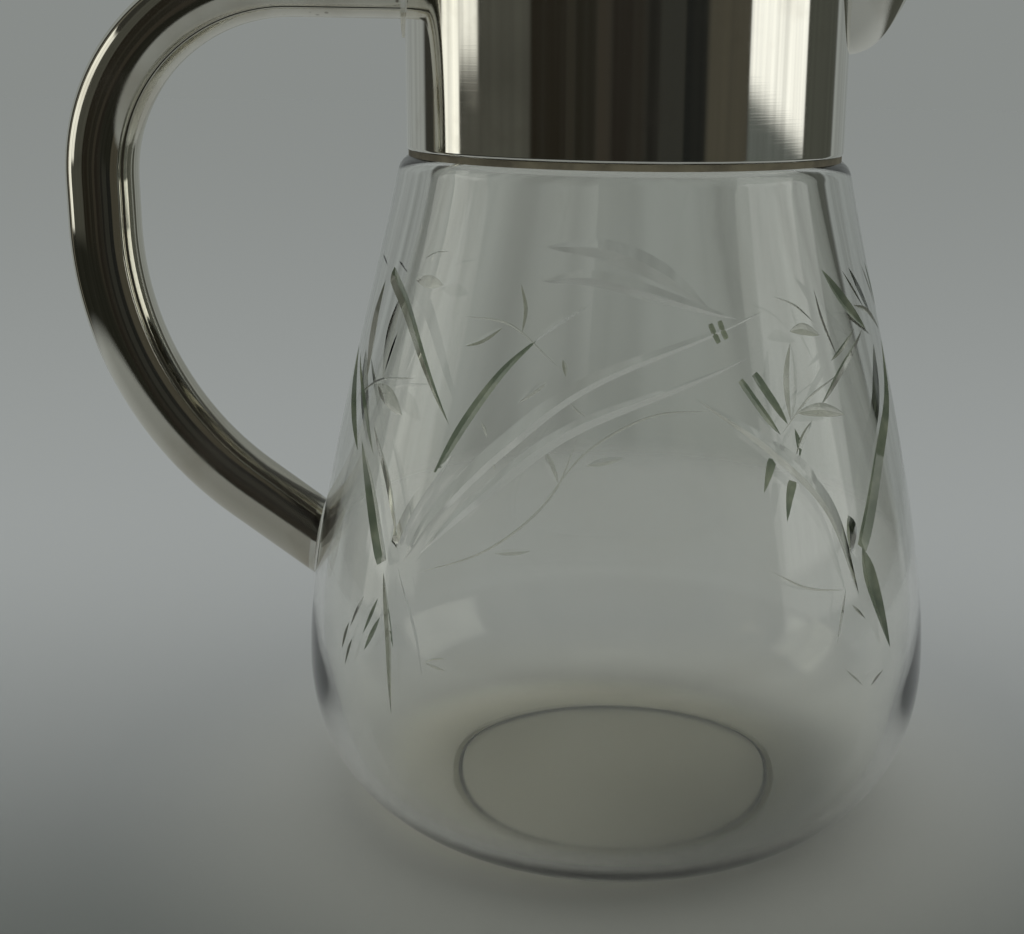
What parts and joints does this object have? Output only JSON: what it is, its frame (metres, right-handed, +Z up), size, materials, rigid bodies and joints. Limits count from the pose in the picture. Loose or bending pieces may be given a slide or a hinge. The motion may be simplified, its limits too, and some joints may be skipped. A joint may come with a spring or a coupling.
{
  "type": "cocktail pitcher",
  "caption": "Clear wheel-cut glass pitcher, belly low down, with a tall plated collar, keeled straining spout, hinged domed lid and ear-shaped tube handle, for mixing and pouring drinks.",
  "frame": {"origin": "centre of the ring that the jug stands on, on the table plane", "axes": "+Z up along the jug's axis, +X towards the spout, -X towards the handle, Y across"},
  "size_m": [0.2044, 0.146, 0.2293],
  "materials": {
    "glass": "clear polished, wheel-cut foliage",
    "plate": "polished silver plate, fine scratches and light tarnish",
    "pin_metal": "bright drawn wire",
    "cement": "matt plaster bedding"
  },
  "bodies": {
    "jug": {"glass_body": "glass", "neck_cement": "cement", "collar_band": "plate", "rim_wire": "plate", "spout_beak": "plate", "handle_shell": "plate", "handle_strip": "plate", "handle_end_plate": "plate", "handle_joint_plate": "plate", "hinge_bracket": "plate", "hinge_pin": "pin_metal"},
    "lid": {"lid_cover": "plate", "lid_flange": "plate", "lid_strap": "plate", "thumb_lift": "plate"}
  },
  "joints": [
    {"name": "lid_hinge", "type": "hinge", "parent": "jug", "child": "lid", "pos_m": [-0.05305, 0, 0.21305], "axis": [0, -1, 0], "range_deg": [0, 98]}
  ]
}
